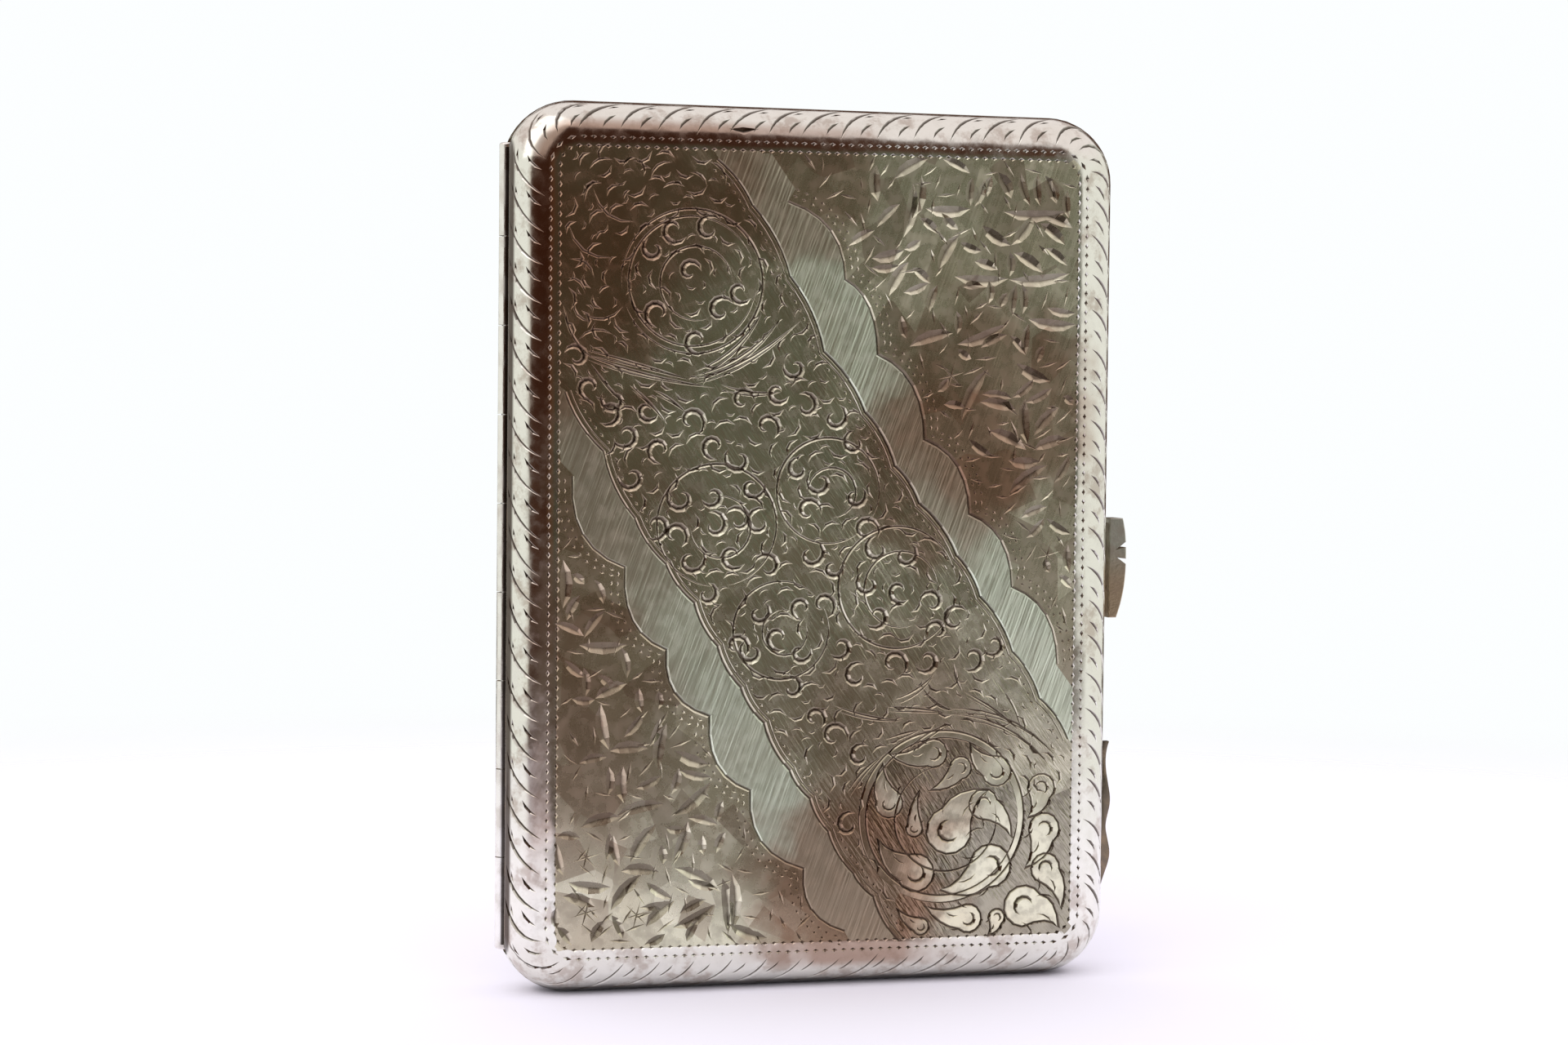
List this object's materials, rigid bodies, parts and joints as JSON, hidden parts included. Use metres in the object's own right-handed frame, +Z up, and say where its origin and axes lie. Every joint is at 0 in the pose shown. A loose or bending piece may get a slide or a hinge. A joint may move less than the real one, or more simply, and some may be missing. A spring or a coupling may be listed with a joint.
{
  "type": "business card case",
  "caption": "Flat pillow-edged silver card case with two engraved shells, a side hinge, a side thumbpiece catch and a sprung card retainer.",
  "frame": {"origin": "the middle of the case's width at its bottom edge, on the back shell's lip, where it stands", "axes": "+X towards the thumbpiece, +Y out of the back, +Z up along the case's height; the engraved front faces -Y and the hinge is on the -X side"},
  "size_m": [0.0687, 0.011, 0.092],
  "materials": {
    "silver": "engraved and worn",
    "gilt": "satin gilding",
    "steel": "drawn wire",
    "nickel_silver": "rolled strip"
  },
  "bodies": {
    "back_case": {"back_cover": "silver", "back_hinge_bearer": "silver", "back_knuckle_1": "silver", "back_knuckle_2": "silver", "back_knuckle_3": "silver", "back_knuckle_4": "silver", "back_knuckle_5": "silver", "hinge_cap_lower": "silver", "hinge_cap_upper": "silver", "hinge_pin": "steel", "latch_spring": "nickel_silver", "lift_tab": "silver", "locating_bezel_lower": "gilt", "locating_bezel_upper": "gilt", "retainer_lug_lower": "gilt", "retainer_lug_upper": "gilt", "retainer_spring_lower": "steel", "retainer_spring_upper": "steel", "retainer_wire": "steel", "spring_rivet_lower": "nickel_silver", "spring_rivet_upper": "nickel_silver", "stem_guide": "gilt"},
    "front_case": {"front_cover": "silver", "front_hinge_bearer": "silver", "front_knuckle_1": "silver", "front_knuckle_2": "silver", "front_knuckle_3": "silver", "front_knuckle_4": "silver", "catch_keeper": "gilt"},
    "thumb_catch": {"thumbpiece": "silver", "thumb_stem": "silver"},
    "retainer": {"card_retainer": "gilt"}
  },
  "joints": [
    {"name": "cover_hinge", "type": "hinge", "parent": "back_case", "child": "front_case", "pos_m": [-0.03225, -0.00006, 0.046], "axis": [0, 0, -1], "range_deg": [0, 165]},
    {"name": "thumbpiece_press", "type": "slide", "parent": "back_case", "child": "thumb_catch", "axis": [-1, 0, 0], "range_m": [0, 0.00065], "stiffness_N_per_m": 1500, "springref_m": -0.001, "deforming": ["latch_spring"]},
    {"name": "retainer_lift", "type": "hinge", "parent": "back_case", "child": "retainer", "pos_m": [-0.027, 0.0036, 0.046], "axis": [0, 0, -1], "range_deg": [0, 14], "stiffness_Nm_per_rad": 0.02, "springref_deg": -17.19, "deforming": ["retainer_spring_lower", "retainer_spring_upper"]}
  ]
}
